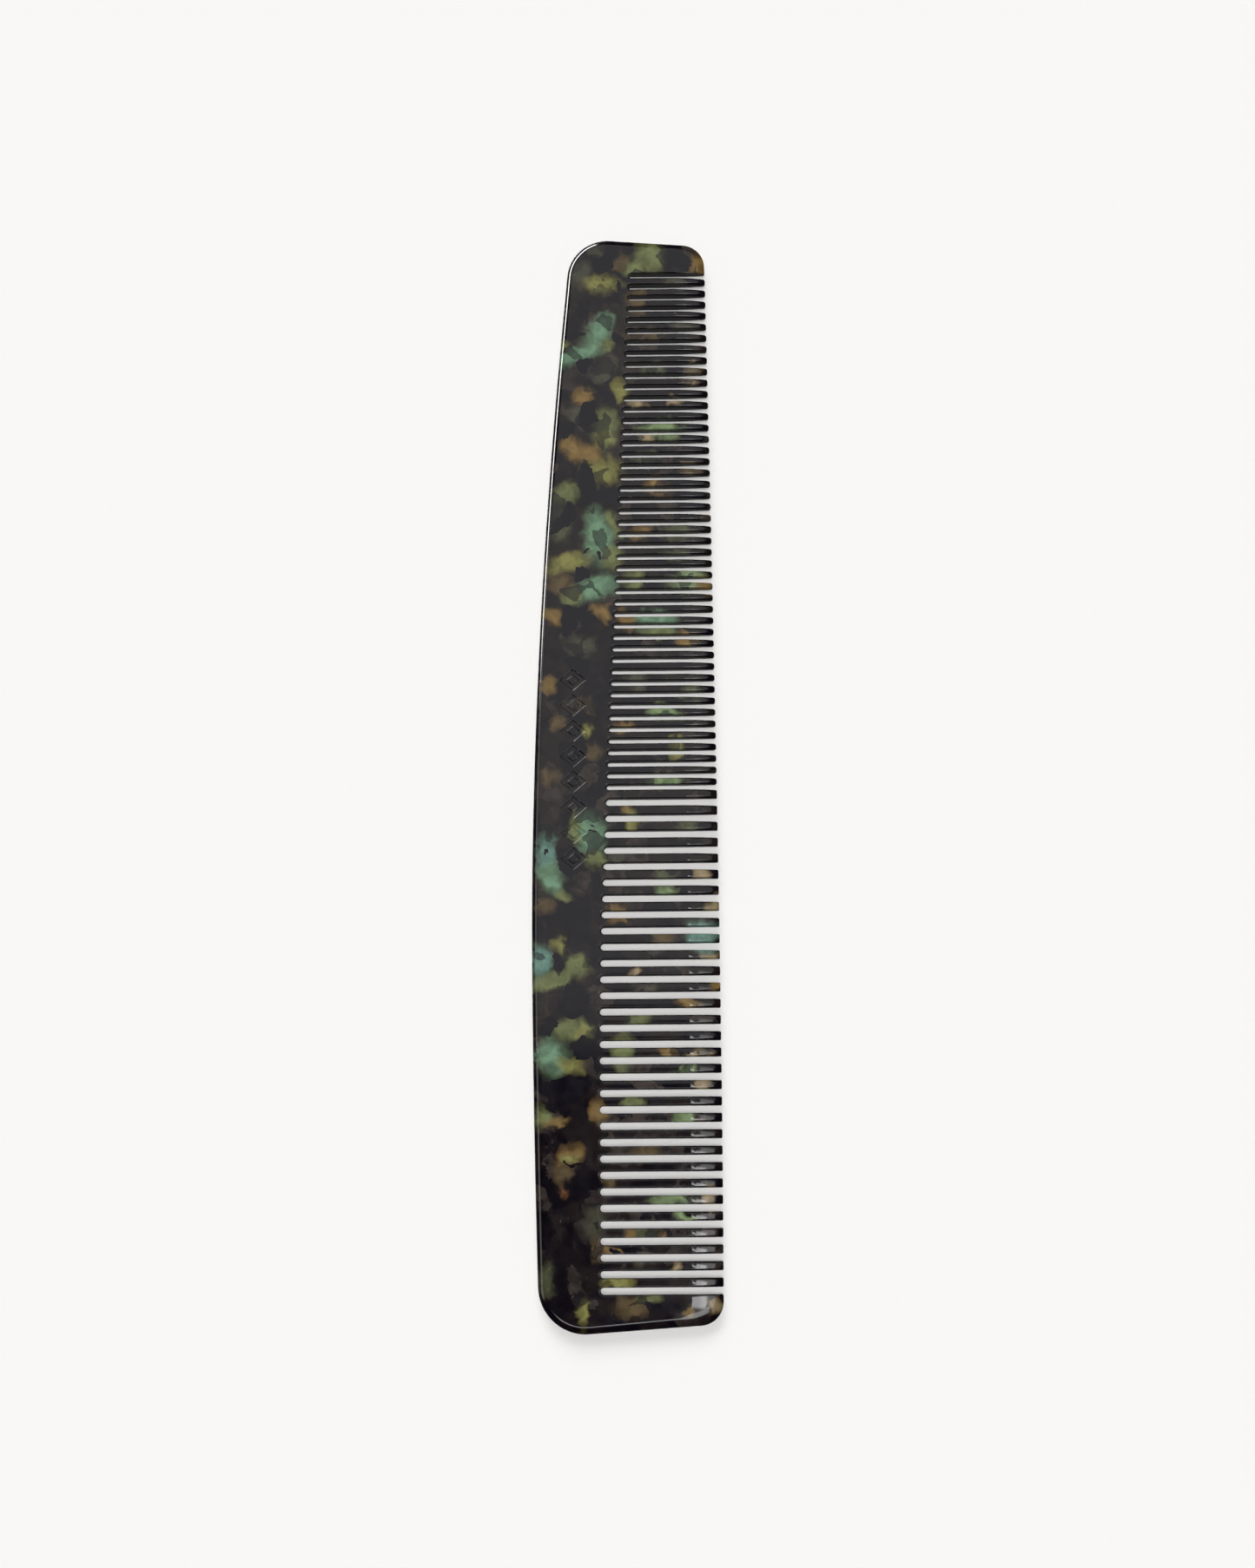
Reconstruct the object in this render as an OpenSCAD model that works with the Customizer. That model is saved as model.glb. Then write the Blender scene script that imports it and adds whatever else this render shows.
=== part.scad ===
// Flat dressing comb sawn from one acetate blank: fine teeth on one half, coarse on the other.
// It lies on the plane z = 0, with +Y towards the fine, narrower end and the teeth towards +X.

/* [Blank] */
// Overall length, from the fine end to the coarse end
length = 188.7; // [187:0.1:200]
// Overall width, from the back edge to the tooth tips
width = 32; // [30:0.5:36]
// Thickness of the sheet
thickness = 3.5; // [3:0.1:5]
// How far the back edge comes in at the fine end
back_fall_fine = 7.3; // [4:0.1:8]
// How far the back edge comes in at the coarse end
back_fall_coarse = 1; // [0:0.1:3]
// How far the tooth tips come in at the fine end
tip_fall_fine = 1.5; // [0:0.1:3]
// Corner radius where the back meets the fine end
fine_back_r = 7; // [4:0.5:8]
// Corner radius where the back meets the coarse end
coarse_back_r = 8; // [4:0.5:9]
// Corner radius on the tooth side, at both ends
tip_corner_r = 4; // [2.5:0.5:5]

/* [Edges] */
// Width of the rounding along the back and both ends
edge_w = 1.4; // [0.8:0.1:2]
// Length of the bevel that thins the tooth tips
tip_bevel = 5.3; // [3:0.1:7]
// Thickness left at the tooth tips
tip_thickness = 1.2; // [0.8:0.1:1.6]
// Small bevel along each tooth
tooth_bevel = 0.2; // [0.1:0.05:0.3]

/* [Fine teeth] */
// Distance from one fine tooth to the next
fine_pitch = 2; // [1.9:0.05:2]
// Width of the gap between fine teeth
fine_gap = 0.88; // [0.7:0.02:1.1]
// Number of gaps in the fine half
fine_gaps = 46; // [30:1:46]
// Width of the solid end beyond the last fine gap
fine_guard_w = 6.1; // [5.5:0.1:8]

/* [Coarse teeth] */
// Distance from one coarse tooth to the next
coarse_pitch = 2.75; // [2.5:0.05:2.75]
// Width of the gap between coarse teeth
coarse_gap = 1.23; // [1:0.01:1.3]
// Number of gaps in the coarse half
coarse_gaps = 31; // [20:1:31]
// Width of the tooth where the fine half changes to the coarse half
middle_tooth_w = 1.5; // [1.2:0.1:2]

/* [Pressed row] */
// Number of open lozenges pressed into the back
lozenges = 8; // [4:2:8]
// Width of the pressed lines
groove_w = 0.5; // [0.3:0.05:0.7]
// Depth of the pressed lines
groove_depth = 0.25; // [0.1:0.05:0.5]

/* [Hidden] */
$fn = 48;
half_l = length / 2;
half_w = width / 2;
mid_z = thickness / 2;
past = 5; // how far cutters run past the blank
curve_steps = 24;

// Where the back edge and the tip line stand furthest out, and how sharply they bow
back_crest_y = -28;
back_power = 1.82;
tip_crest_y = -60;
tip_power = 1.7;

// How far the tooth-side corner of each end stands back from the other corner
fine_end_fall = 0.9;
coarse_end_fall = 1.3;

// The closed ends of the gaps: level on the coarse half, then a straight slope to the fine end
root_level_x = -4.75;
root_slope = 0.0503;
root_knee_y = -32.3;
root_blend = 13;

// Half way along the bevels the surface still stands proud, which rounds them
bulge_in = 0.38;
bulge_down = 0.24;

fine_first_y = half_l - fine_guard_w - fine_gap / 2;
fine_last_y = fine_first_y - fine_pitch * (fine_gaps - 1);
coarse_first_y = fine_last_y - fine_gap / 2 - middle_tooth_w - coarse_gap / 2;
coarse_last_y = coarse_first_y - coarse_pitch * (coarse_gaps - 1);
middle_tooth_y = fine_last_y - fine_gap / 2 - middle_tooth_w / 2;

// The pressed row stands one lozenge off the middle, so that the line between the halves misses it
lozenge_x = -8.8;
lozenge_half_w = 2.1;
lozenge_half_l = 1.75;
lozenge_pitch = 4.4;
lozenge_row_y = middle_tooth_y + lozenge_pitch;

acetate = [0.23, 0.18, 0.14];

function back_x(y) =
    let (coarse = y < back_crest_y,
         reach = coarse ? half_l + back_crest_y : half_l - back_crest_y,
         fall = coarse ? back_fall_coarse : back_fall_fine)
    -half_w + fall * pow(abs(y - back_crest_y) / reach, back_power);

function tip_x(y) =
    half_w - tip_fall_fine * pow(abs(y - tip_crest_y) / (half_l - tip_crest_y), tip_power);

// Centre line of the gaps' round ends, for a gap of a given width
function root_x(y, gap) =
    let (d = y - root_knee_y)
    root_level_x + root_slope / 2 * (d + sqrt(d * d + root_blend * root_blend)) + gap / 2;

fine_ys = [for (i = [0 : fine_gaps - 1]) fine_first_y - i * fine_pitch];
coarse_ys = [for (i = [0 : coarse_gaps - 1]) coarse_first_y - i * coarse_pitch];
fine_ends = [for (y = fine_ys) [root_x(y, fine_gap), y]];
coarse_ends = [for (y = coarse_ys) [root_x(y, coarse_gap), y]];
root_line = concat(fine_ends, coarse_ends);
root_first = fine_ends[0];
root_last = coarse_ends[coarse_gaps - 1];

// Plan of the blank, drawn in by one distance at the back and ends and another at the tips
module plan(edge, tip) {
    straight = [for (i = [0 : curve_steps]) -half_l + 10 + i * (length - 20) / curve_steps];
    hull() {
        polygon(concat([for (y = straight) [back_x(y) + edge, y]],
                       [for (i = [curve_steps : -1 : 0]) [tip_x(straight[i]) - tip, straight[i]]]));
        corner(fine_back_r - edge, back_x(half_l - fine_back_r) + fine_back_r, half_l - fine_back_r);
        corner(coarse_back_r - edge, back_x(coarse_back_r - half_l) + coarse_back_r, coarse_back_r - half_l);
        corner(tip_corner_r - edge, tip_x(half_l) - tip_corner_r - tip + edge,
               half_l - fine_end_fall - tip_corner_r);
        corner(tip_corner_r - edge, tip_x(-half_l) - tip_corner_r - tip + edge,
               tip_corner_r + coarse_end_fall - half_l);
    }
}

module corner(r, x, y) {
    translate([x, y])
        circle(r, $fn = 32);
}

// A level slice of the blank, centred on the middle of the sheet
module slice(h, edge, tip) {
    translate([0, 0, mid_z - h / 2])
        linear_extrude(h)
            plan(edge, tip);
}

// The whole blank before sawing: rounded back and ends, and a curved bevel at the tips
module blank() {
    thin = thickness - tip_thickness;
    hull() {
        slice(thickness, edge_w, tip_bevel);
        slice(thickness - thin * bulge_down, edge_w * bulge_in, tip_bevel * bulge_in * 1.4);
        slice(tip_thickness, 0, 0);
    }
}

// Everything in front of the line through the gaps' round ends
module front() {
    far_x = half_w + past;
    far_y = half_l + past;
    translate([0, 0, -past])
        linear_extrude(thickness + 2 * past)
            polygon(concat([[root_first[0], far_y]], root_line,
                           [[root_last[0], -far_y], [far_x, -far_y], [far_x, far_y]]));
}

module gap_ends(centres, gap) {
    for (c = centres)
        translate([c[0], c[1], -past])
            cylinder(d = gap, h = thickness + 2 * past);
}

module lozenge(a, b) {
    polygon([[a, 0], [0, b], [-a, 0], [0, -b]]);
}

module lozenge_row() {
    a = lozenge_half_w;
    b = lozenge_half_l;
    side = sqrt(a * a + b * b);
    row_low_y = lozenge_row_y - lozenge_pitch * (lozenges - 1) / 2;
    for (i = [0 : lozenges - 1])
        translate([lozenge_x, row_low_y + i * lozenge_pitch, thickness - groove_depth])
            linear_extrude(groove_depth + past)
                difference() {
                    lozenge(a, b);
                    lozenge(a - groove_w * side / b, b - groove_w * side / a);
                }
}

// A block right across the comb, between two places along it
module band(y_low, y_high) {
    translate([-half_w - past, y_low, -past])
        cube([width + 2 * past, y_high - y_low, thickness + 2 * past]);
}

// Side view of a tooth, from behind its root to its tip, with the curved bevel at the tip
module tooth_side(tip) {
    thin = (thickness - tip_thickness) / 2;
    bulge_x = tip - tip_bevel * bulge_in * 1.4;
    upper = [[tip, thickness - thin], [bulge_x, thickness - thin * bulge_down],
             [tip - tip_bevel, thickness], [root_level_x, thickness]];
    lower = [[root_level_x, 0], [tip - tip_bevel, 0], [bulge_x, thin * bulge_down], [tip, thin]];
    polygon(concat(upper, lower));
}

// End view of a tooth: a bar with its four long edges taken off
module tooth_end(w) {
    b = tooth_bevel;
    y = w / 2;
    polygon([[-y, b], [b - y, 0], [y - b, 0], [y, b],
             [y, thickness - b], [y - b, thickness], [b - y, thickness], [-y, thickness - b]]);
}

// One tooth, as long and as thick as the tip line asks for at its place
module tooth(y, w) {
    intersection() {
        translate([0, y + w / 2, 0])
            rotate([90, 0, 0])
                linear_extrude(w)
                    tooth_side(tip_x(y));
        translate([root_level_x, y, 0])
            rotate([90, 0, 90])
                linear_extrude(width)
                    tooth_end(w);
        front();
    }
}

// The spine between two places along the comb, with the round ends of the gaps that fall there
module spine(y_low, y_high, centres, gap) {
    difference() {
        intersection() {
            blank();
            band(y_low, y_high);
        }
        front();
        gap_ends(centres, gap);
        lozenge_row();
    }
}

// The solid end of the comb in front of the spine, beyond the last gap
module guard(y_low, y_high) {
    intersection() {
        blank();
        band(y_low, y_high);
        front();
    }
}

module fine_back() {
    color(acetate)
        spine(middle_tooth_y, half_l + past, fine_ends, fine_gap);
}

module coarse_back() {
    color(acetate)
        spine(-half_l - past, middle_tooth_y, coarse_ends, coarse_gap);
}

module fine_end_guard() {
    color(acetate)
        guard(fine_first_y + fine_gap / 2, half_l + past);
}

module coarse_end_guard() {
    color(acetate)
        guard(-half_l - past, coarse_last_y - coarse_gap / 2);
}

module fine_teeth() {
    color(acetate)
        for (i = [1 : fine_gaps - 1])
            tooth((fine_ys[i - 1] + fine_ys[i]) / 2, fine_pitch - fine_gap);
}

module coarse_teeth() {
    color(acetate) {
        tooth(middle_tooth_y, middle_tooth_w);
        for (i = [1 : coarse_gaps - 1])
            tooth((coarse_ys[i - 1] + coarse_ys[i]) / 2, coarse_pitch - coarse_gap);
    }
}

fine_back();
coarse_back();
fine_end_guard();
coarse_end_guard();
fine_teeth();
coarse_teeth();
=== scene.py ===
# %% [markdown]
# # A mottled acetate dressing comb
# The real comb is sawn from one flat sheet of cellulose acetate: fine teeth on one half, coarse teeth on the
# other, and every edge tumbled and polished round. The design model already fixes its sizes, so this lesson
# loads that model as a frame and builds the finished surface around it, in metres, on the same axes.

# %% Load the frame
import math

import bpy
from mathutils import Matrix, Vector
from mathutils.kdtree import KDTree


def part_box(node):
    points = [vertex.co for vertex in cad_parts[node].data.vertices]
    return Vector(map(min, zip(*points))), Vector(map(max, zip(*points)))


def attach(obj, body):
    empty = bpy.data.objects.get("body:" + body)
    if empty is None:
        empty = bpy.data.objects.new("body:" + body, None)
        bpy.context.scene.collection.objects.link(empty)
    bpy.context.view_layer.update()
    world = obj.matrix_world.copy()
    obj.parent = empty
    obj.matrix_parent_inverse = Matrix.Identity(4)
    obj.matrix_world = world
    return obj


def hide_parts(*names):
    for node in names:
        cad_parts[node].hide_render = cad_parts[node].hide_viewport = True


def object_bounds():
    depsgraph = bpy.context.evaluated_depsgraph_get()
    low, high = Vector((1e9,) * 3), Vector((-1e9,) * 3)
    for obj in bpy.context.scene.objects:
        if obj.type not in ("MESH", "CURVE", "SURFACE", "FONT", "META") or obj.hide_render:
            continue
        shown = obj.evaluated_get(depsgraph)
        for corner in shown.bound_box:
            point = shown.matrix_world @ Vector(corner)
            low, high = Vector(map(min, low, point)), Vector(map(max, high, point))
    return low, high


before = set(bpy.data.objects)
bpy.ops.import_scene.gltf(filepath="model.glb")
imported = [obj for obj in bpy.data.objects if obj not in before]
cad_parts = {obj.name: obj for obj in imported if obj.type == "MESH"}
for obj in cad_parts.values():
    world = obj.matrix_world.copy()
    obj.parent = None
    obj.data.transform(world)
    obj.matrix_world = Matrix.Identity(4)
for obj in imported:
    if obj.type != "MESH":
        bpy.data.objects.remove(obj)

MM = 0.001
cad_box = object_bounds()
low, high = cad_box
print("frame nodes:", sorted(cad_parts))
print("frame box in mm:", [round(v / MM, 2) for v in (*low, *high)])

# %% [markdown]
# ## Floor
# The comb lies on a plain pale surface, which only has to catch soft shadows, so a plane is enough.

# %% Lay the floor
FLOOR_SIZE = 40
bpy.ops.object.select_all(action="DESELECT")
bpy.ops.mesh.primitive_plane_add(size=FLOOR_SIZE, location=(0, 0, low[2]))
floor = bpy.context.object
floor.name = "floor"
floor_paint = bpy.data.materials.new("pale_floor")
floor_paint.use_nodes = True
floor_shader = floor_paint.node_tree.nodes["Principled BSDF"]
floor_shader.inputs["Base Color"].default_value = (0.9, 0.892, 0.875, 1)
floor_shader.inputs["Roughness"].default_value = 1.0
floor_shader.inputs["Specular IOR Level"].default_value = 0.0
floor.data.materials.append(floor_paint)
floor.visible_glossy = False
print("floor at z =", round(low[2] / MM, 3), "mm")

# %% [markdown]
# ## Camera
# The comb is seen from almost straight above, a little from its coarse end, with a longish lens. The camera
# is turned about each of its own axes in small steps, so a rotation matrix places it more surely than
# dragging would.

# %% Set up the camera
CAMERA_PLACE = (4.7587, -66.9105, 517.458)
LEAN_SIDEWAYS, LEAN_BACK, ROLL = 0.54, 7.23, -0.50

camera_data = bpy.data.cameras.new("camera")
camera_data.lens = 69.63
camera_data.sensor_width = 36
camera = bpy.data.objects.new("camera", camera_data)
bpy.context.scene.collection.objects.link(camera)
turn = (Matrix.Rotation(math.radians(ROLL), 4, "Z")
        @ Matrix.Rotation(math.radians(LEAN_BACK), 4, "X")
        @ Matrix.Rotation(math.radians(LEAN_SIDEWAYS), 4, "Y"))
camera.matrix_world = Matrix.Translation(Vector(CAMERA_PLACE) * MM) @ turn
bpy.context.scene.camera = camera
bpy.context.scene.view_settings.view_transform = "Standard"
print("camera stands", round(camera.location.z, 3), "m above the floor")

# %% [markdown]
# ## Light
# A studio lights a glossy comb in two ways. Even light from beside the lens makes the pale surface white
# right down between the teeth, and a weak light from beyond the fine end throws the short shadow under the
# coarse end. A fill that casts no shadow stands in for the light that real acetate lets through.
#
# Large soft panels are there only to be mirrored. One over the fine half lays a grey veil on most of the
# comb, and a low, long one draws the bright line along the back edge and round the fine corner. Panels
# beyond the tips light the bevels of the coarse teeth, and a dim one below stands in for the floor, which
# isn't mirrored itself. Keeping the two jobs apart leaves the floor free of the panels' own patches.

# %% Hang the lights
def hang(data, name, centre, aim):
    """Adds a light that hangs at its centre and faces the point it aims at."""
    lamp = bpy.data.objects.new(name, data)
    bpy.context.scene.collection.objects.link(lamp)
    direction = Vector(aim) - Vector(centre)
    lamp.matrix_world = Matrix.Translation(centre) @ direction.to_track_quat("-Z", "Y").to_matrix().to_4x4()
    return lamp


def mirrored_panel(name, centre, aim, size, radiance):
    """A soft panel that only shows in reflections, as bright all over as the radiance says."""
    data = bpy.data.lights.new(name, "AREA")
    data.shape = "RECTANGLE"
    data.size, data.size_y = size
    data.energy = math.pi * radiance * size[0] * size[1]
    lamp = hang(data, name, centre, aim)
    lamp.visible_diffuse = False
    print(f"{name}: {size[0]} x {size[1]} m, {data.energy:.1f} W")


def even_light(name, come_from, strength, spread_degrees, shadow=True):
    """A far, soft light that gives even light and doesn't show in reflections."""
    data = bpy.data.lights.new(name, "SUN")
    data.use_shadow = shadow
    data.energy = strength
    data.angle = math.radians(spread_degrees)
    lamp = hang(data, name, come_from, (0, 0, 0))
    lamp.visible_glossy = False
    print(f"{name}: {strength} W per square metre")


even_light("above", come_from=(0.0, -0.07, 1.0), strength=1.05, spread_degrees=14)
even_light("fill", come_from=(0.0, 0.0, 1.0), strength=1.0, spread_degrees=5, shadow=False)
even_light("beyond_fine_end", come_from=(-0.12, 0.72, 0.7), strength=1.25, spread_degrees=38)
mirrored_panel("veil_panel", centre=(0, 0.565, 0.9), aim=(0, 0.565, 0), size=(1.4, 1.15), radiance=0.76)
mirrored_panel("corner_panel", centre=(-0.53, 0.51, 0.17), aim=(-0.11, 0.006, 0), size=(0.93, 0.19),
               radiance=30)
mirrored_panel("back_panel", centre=(-0.62, -0.02, 0.44), aim=(-0.015, 0, 0), size=(0.54, 0.3), radiance=1.6)
mirrored_panel("tip_panel", centre=(0.2, -0.13, 0.9), aim=(0, -0.07, 0), size=(0.12, 0.3), radiance=8)
mirrored_panel("far_tip_panel", centre=(0.39, -0.13, 0.84), aim=(0, -0.07, 0), size=(0.24, 0.3),
               radiance=2.6)
mirrored_panel("near_panel", centre=(0.05, -0.37, 0.88), aim=(0, -0.09, 0), size=(0.8, 0.15), radiance=5)
mirrored_panel("floor_glow", centre=(0, 0, -0.03), aim=(0, 0, 1), size=(0.5, 0.5), radiance=0.08)

ROOM_LIGHT = 0.125
world = bpy.data.worlds.new("pale_room")
bpy.context.scene.world = world
world.use_nodes = True
world.node_tree.nodes["Background"].inputs["Color"].default_value = (1, 1, 1, 1)
world.node_tree.nodes["Background"].inputs["Strength"].default_value = ROOM_LIGHT
world.cycles_visibility.glossy = False

# %% [markdown]
# ## Small tools
# Operators act on whatever is selected, so each helper first clears the selection and then picks one object,
# or the elements that pass a test on their place. That is what a click or a box select does by hand.

# %% Helpers for selecting and editing
def only(obj):
    """Makes obj the one selected and active object."""
    bpy.ops.object.select_all(action="DESELECT")
    obj.select_set(True)
    bpy.context.view_layer.objects.active = obj


def start_edit(obj, kind="VERT"):
    only(obj)
    bpy.ops.object.mode_set(mode="EDIT")
    bpy.ops.mesh.select_mode(type=kind)
    bpy.ops.mesh.select_all(action="DESELECT")


def end_edit():
    bpy.ops.object.mode_set(mode="OBJECT")


def pick_edges(obj, test):
    """Opens obj in edit mode with only the edges that pass the test selected, and returns how many."""
    start_edit(obj, "EDGE")
    end_edit()
    chosen = [edge for edge in obj.data.edges if test(edge)]
    for edge in chosen:
        edge.select = True
    bpy.ops.object.mode_set(mode="EDIT")
    return len(chosen)


def outward(obj):
    start_edit(obj)
    bpy.ops.mesh.select_all(action="SELECT")
    bpy.ops.mesh.normals_make_consistent(inside=False)
    end_edit()


def polish(obj, angle):
    """Smooth shading up to an angle in degrees, with the broad flats kept flat by weighted normals."""
    only(obj)
    bpy.ops.object.shade_smooth_by_angle(angle=math.radians(angle))
    modifier = obj.modifiers.new("flats", "WEIGHTED_NORMAL")
    modifier.keep_sharp = True
    bpy.ops.object.modifier_apply(modifier=modifier.name)


def join(pieces, name):
    """Joins pieces into one object, at the origin, under a new name."""
    only(pieces[0])
    for piece in pieces:
        piece.select_set(True)
    bpy.ops.object.join()
    joined = bpy.context.object
    joined.name = name
    return joined


def twin_of(obj, name):
    twin = obj.copy()
    twin.data = obj.data.copy()
    twin.name = name
    bpy.context.scene.collection.objects.link(twin)
    return twin


def say(obj):
    size = [round(v / MM, 2) for v in obj.dimensions]
    print(f"{obj.name}: {len(obj.data.polygons)} faces, {size} mm")


# %% [markdown]
# ## One way to raise a rounded slab
# Every piece of the comb is a flat shape with shaped edges. It starts as a filled circle with as many points
# as the outline needs, which is drawn out to the outline at the lowest level. Then its face is extruded from
# level to level, and at each level the new ring is drawn in by what the edge's rounding asks for. The same
# levels serve every piece, so neighbouring pieces meet with the same section.

# %% Raise a slab ring by ring
LIFT = Vector((0, 0, MM))


def place_ring(obj, order, ring):
    for index, point in zip(order, ring):
        obj.data.vertices[index].co = Vector(point) * MM


def lifted_order(obj, order):
    """Finds the vertices that an extrude has lifted from a ring, in that ring's order."""
    first = len(obj.data.vertices) - len(order)
    tree_of_new = KDTree(len(order))
    for vertex in obj.data.vertices[first:]:
        tree_of_new.insert(vertex.co, vertex.index)
    tree_of_new.balance()
    return [tree_of_new.find(obj.data.vertices[index].co + LIFT)[1] for index in order]


def raise_rings(name, rings):
    """Starts from a filled circle shaped to the first ring, and extrudes its face to each next ring."""
    count = len(rings[0])
    bpy.ops.object.select_all(action="DESELECT")
    bpy.ops.mesh.primitive_circle_add(vertices=count, radius=MM, fill_type="NGON")
    obj = bpy.context.object
    obj.name = name
    obj.data.name = name
    order = list(range(count))
    place_ring(obj, order, rings[0])
    for ring in rings[1:]:
        start_edit(obj, "FACE")
        end_edit()
        lid = next(face for face in obj.data.polygons if set(face.vertices) == set(order))
        lid.select = True
        bpy.ops.object.mode_set(mode="EDIT")
        bpy.ops.mesh.extrude_region_move(TRANSFORM_OT_translate={"value": LIFT})
        end_edit()
        order = lifted_order(obj, order)
        place_ring(obj, order, ring)
    outward(obj)
    return obj


# %% [markdown]
# ## Sizes of the comb
# The box of each frame node gives the places of the teeth. The outline's formulas are the design model's own:
# a bowed back, tips on a slight bow, rounded corners, and a root line that runs level along the coarse half
# and then climbs towards the fine end. All of them are in millimetres.

# %% Sizes and curves
half_l = high[1] / MM
half_w = high[0] / MM
mid_z = (low[2] + high[2]) / 2 / MM
# Half the thickness, in the full sheet and at a tip
FULL = (high[2] - low[2]) / 2 / MM
TIP_HALF = 0.6
# Widths, in plan, of the rounding at the back and ends and of the bevel at the tips
EDGE_W = 1.4
TIP_BEVEL = 5.3
# Rounding between the teeth: its radius above, and its width and height below
RIM_R = 0.3
UNDER_W = 0.45
UNDER_H = 1.3

FINE_COUNT, FINE_PITCH, FINE_TOOTH = 45, 2.0, 1.12
COARSE_COUNT, COARSE_PITCH, COARSE_TOOTH = 30, 2.75, 1.52
MIDDLE_TOOTH = 1.5
FINE_BACK_R, COARSE_BACK_R, TIP_R = 7.0, 8.0, 4.0
BACK_CREST, BACK_POWER, BACK_FALL_FINE, BACK_FALL_COARSE = -28.0, 1.82, 7.3, 1.0
TIP_CREST, TIP_POWER, TIP_FALL = -60.0, 1.7, 1.5
FINE_END_FALL, COARSE_END_FALL = 0.9, 1.3
ROOT_LEVEL, ROOT_SLOPE, ROOT_KNEE, ROOT_BLEND = -4.75, 0.0503, -32.3, 13.0
# How far from each end the bowed back and tip line stop
CURVE_STOP = 10.0

fine_gap = FINE_PITCH - FINE_TOOTH
coarse_gap = COARSE_PITCH - COARSE_TOOTH
fine_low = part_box("fine_teeth")[0][1] / MM
coarse_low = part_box("coarse_teeth")[0][1] / MM


def back_x(y):
    if y < BACK_CREST:
        reach, fall = half_l + BACK_CREST, BACK_FALL_COARSE
    else:
        reach, fall = half_l - BACK_CREST, BACK_FALL_FINE
    return -half_w + fall * (abs(y - BACK_CREST) / reach) ** BACK_POWER


def tip_x(y):
    return half_w - TIP_FALL * (abs(y - TIP_CREST) / (half_l - TIP_CREST)) ** TIP_POWER


def root_x(y, gap):
    d = y - ROOT_KNEE
    return ROOT_LEVEL + ROOT_SLOPE / 2 * (d + math.sqrt(d * d + ROOT_BLEND ** 2)) + gap / 2


# Each tooth is (lower y, upper y), and each gap is (middle y, width), from the coarse end to the fine end
coarse_teeth = [(coarse_low + i * COARSE_PITCH, coarse_low + i * COARSE_PITCH + COARSE_TOOTH)
                for i in range(COARSE_COUNT)]
middle_low = coarse_teeth[-1][1] + coarse_gap
middle_tooth = (middle_low, middle_low + MIDDLE_TOOTH)
fine_teeth = [(fine_low + i * FINE_PITCH, fine_low + i * FINE_PITCH + FINE_TOOTH) for i in range(FINE_COUNT)]
coarse_gaps = [(a - coarse_gap / 2, coarse_gap) for a, b in coarse_teeth + [middle_tooth]]
fine_gaps = [(a - fine_gap / 2, fine_gap) for a, b in fine_teeth]
gaps = coarse_gaps + fine_gaps + [(fine_teeth[-1][1] + fine_gap / 2, fine_gap)]
gap_ends = [(y, root_x(y, gap)) for y, gap in gaps]
print("teeth:", len(coarse_teeth) + 1 + len(fine_teeth), "gaps:", len(gaps))


def root_line(y):
    """The line that joins the middles of the gaps' round ends, and runs on straight past the last ones."""
    if y <= gap_ends[0][0]:
        return gap_ends[0][1]
    for (y0, x0), (y1, x1) in zip(gap_ends, gap_ends[1:]):
        if y <= y1:
            return x0 + (x1 - x0) * (y - y0) / (y1 - y0)
    return gap_ends[-1][1]


# %% [markdown]
# ## Levels and edge profiles
# The back and the ends are rounded over a wide quarter oval. The tips thin down over a longer bevel that
# leaves the flat at a slight ridge. The rims of the gaps have a small quarter round above and a deeper one
# below, so that the gaps open downwards and light falls through them. Each level says how far
# every kind of edge is drawn in at one height.

# %% Work out the levels
TIP_START = 0.42
TIP_CURVE = 3.0
HALVINGS = 40


def edge_in(h):
    return EDGE_W * (1 - math.sqrt(max(0.0, 1 - ((h - TIP_HALF) / (FULL - TIP_HALF)) ** 2)))


def tip_drop(v):
    """How far the bevel has dropped, as a share of its whole drop, at a share v of the way to the tip."""
    return TIP_START * v + (1 - TIP_START) * v ** TIP_CURVE


def tip_in(h):
    """How far the bevel is drawn in at height h, found by halving, because tip_drop has no plain inverse."""
    goal = (FULL - h) / (FULL - TIP_HALF)
    near, far = 0.0, 1.0
    for _ in range(HALVINGS):
        v = (near + far) / 2
        near, far = (v, far) if tip_drop(v) < goal else (near, v)
    return TIP_BEVEL * (1 - near)


def rim_in(h, wide, tall):
    """How far a rim is drawn in at height h, when a quarter oval of a given width and height rounds it."""
    rise = max(0.0, h - (FULL - tall)) / tall
    return wide * (1 - math.sqrt(max(0.0, 1 - rise ** 2)))


wall_heights = [TIP_HALF, 0.8, 0.98, 1.15, 1.31, FULL - RIM_R]
rim_heights = [FULL - RIM_R * (1 - math.sin(math.radians(a))) for a in (20, 40, 57, 74, 90)]
heights = wall_heights + rim_heights
upper = [(h, edge_in(h), tip_in(h), rim_in(h, RIM_R, RIM_R)) for h in heights]
lower = [(-h, edge_in(h), tip_in(h), rim_in(h, UNDER_W, UNDER_H)) for h in reversed(heights)]
levels = lower + upper
print("levels:", len(levels), "drawn in at the top:", [round(v, 2) for v in upper[-1][1:]])

# %% [markdown]
# ## Outline of the blank
# Corners are arcs, and each end is the straight line that touches both of its corner arcs. These functions
# give the pieces of the outline for any amount of drawing in.

# %% Corners and ends
ARC_STEPS = 20


def arc(centre, r, start, stop, steps=ARC_STEPS):
    """Points on an arc, from one angle to the other, in degrees."""
    angles = [math.radians(start + (stop - start) * i / steps) for i in range(steps + 1)]
    return [(centre[0] + r * math.cos(a), centre[1] + r * math.sin(a)) for a in angles]


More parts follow.
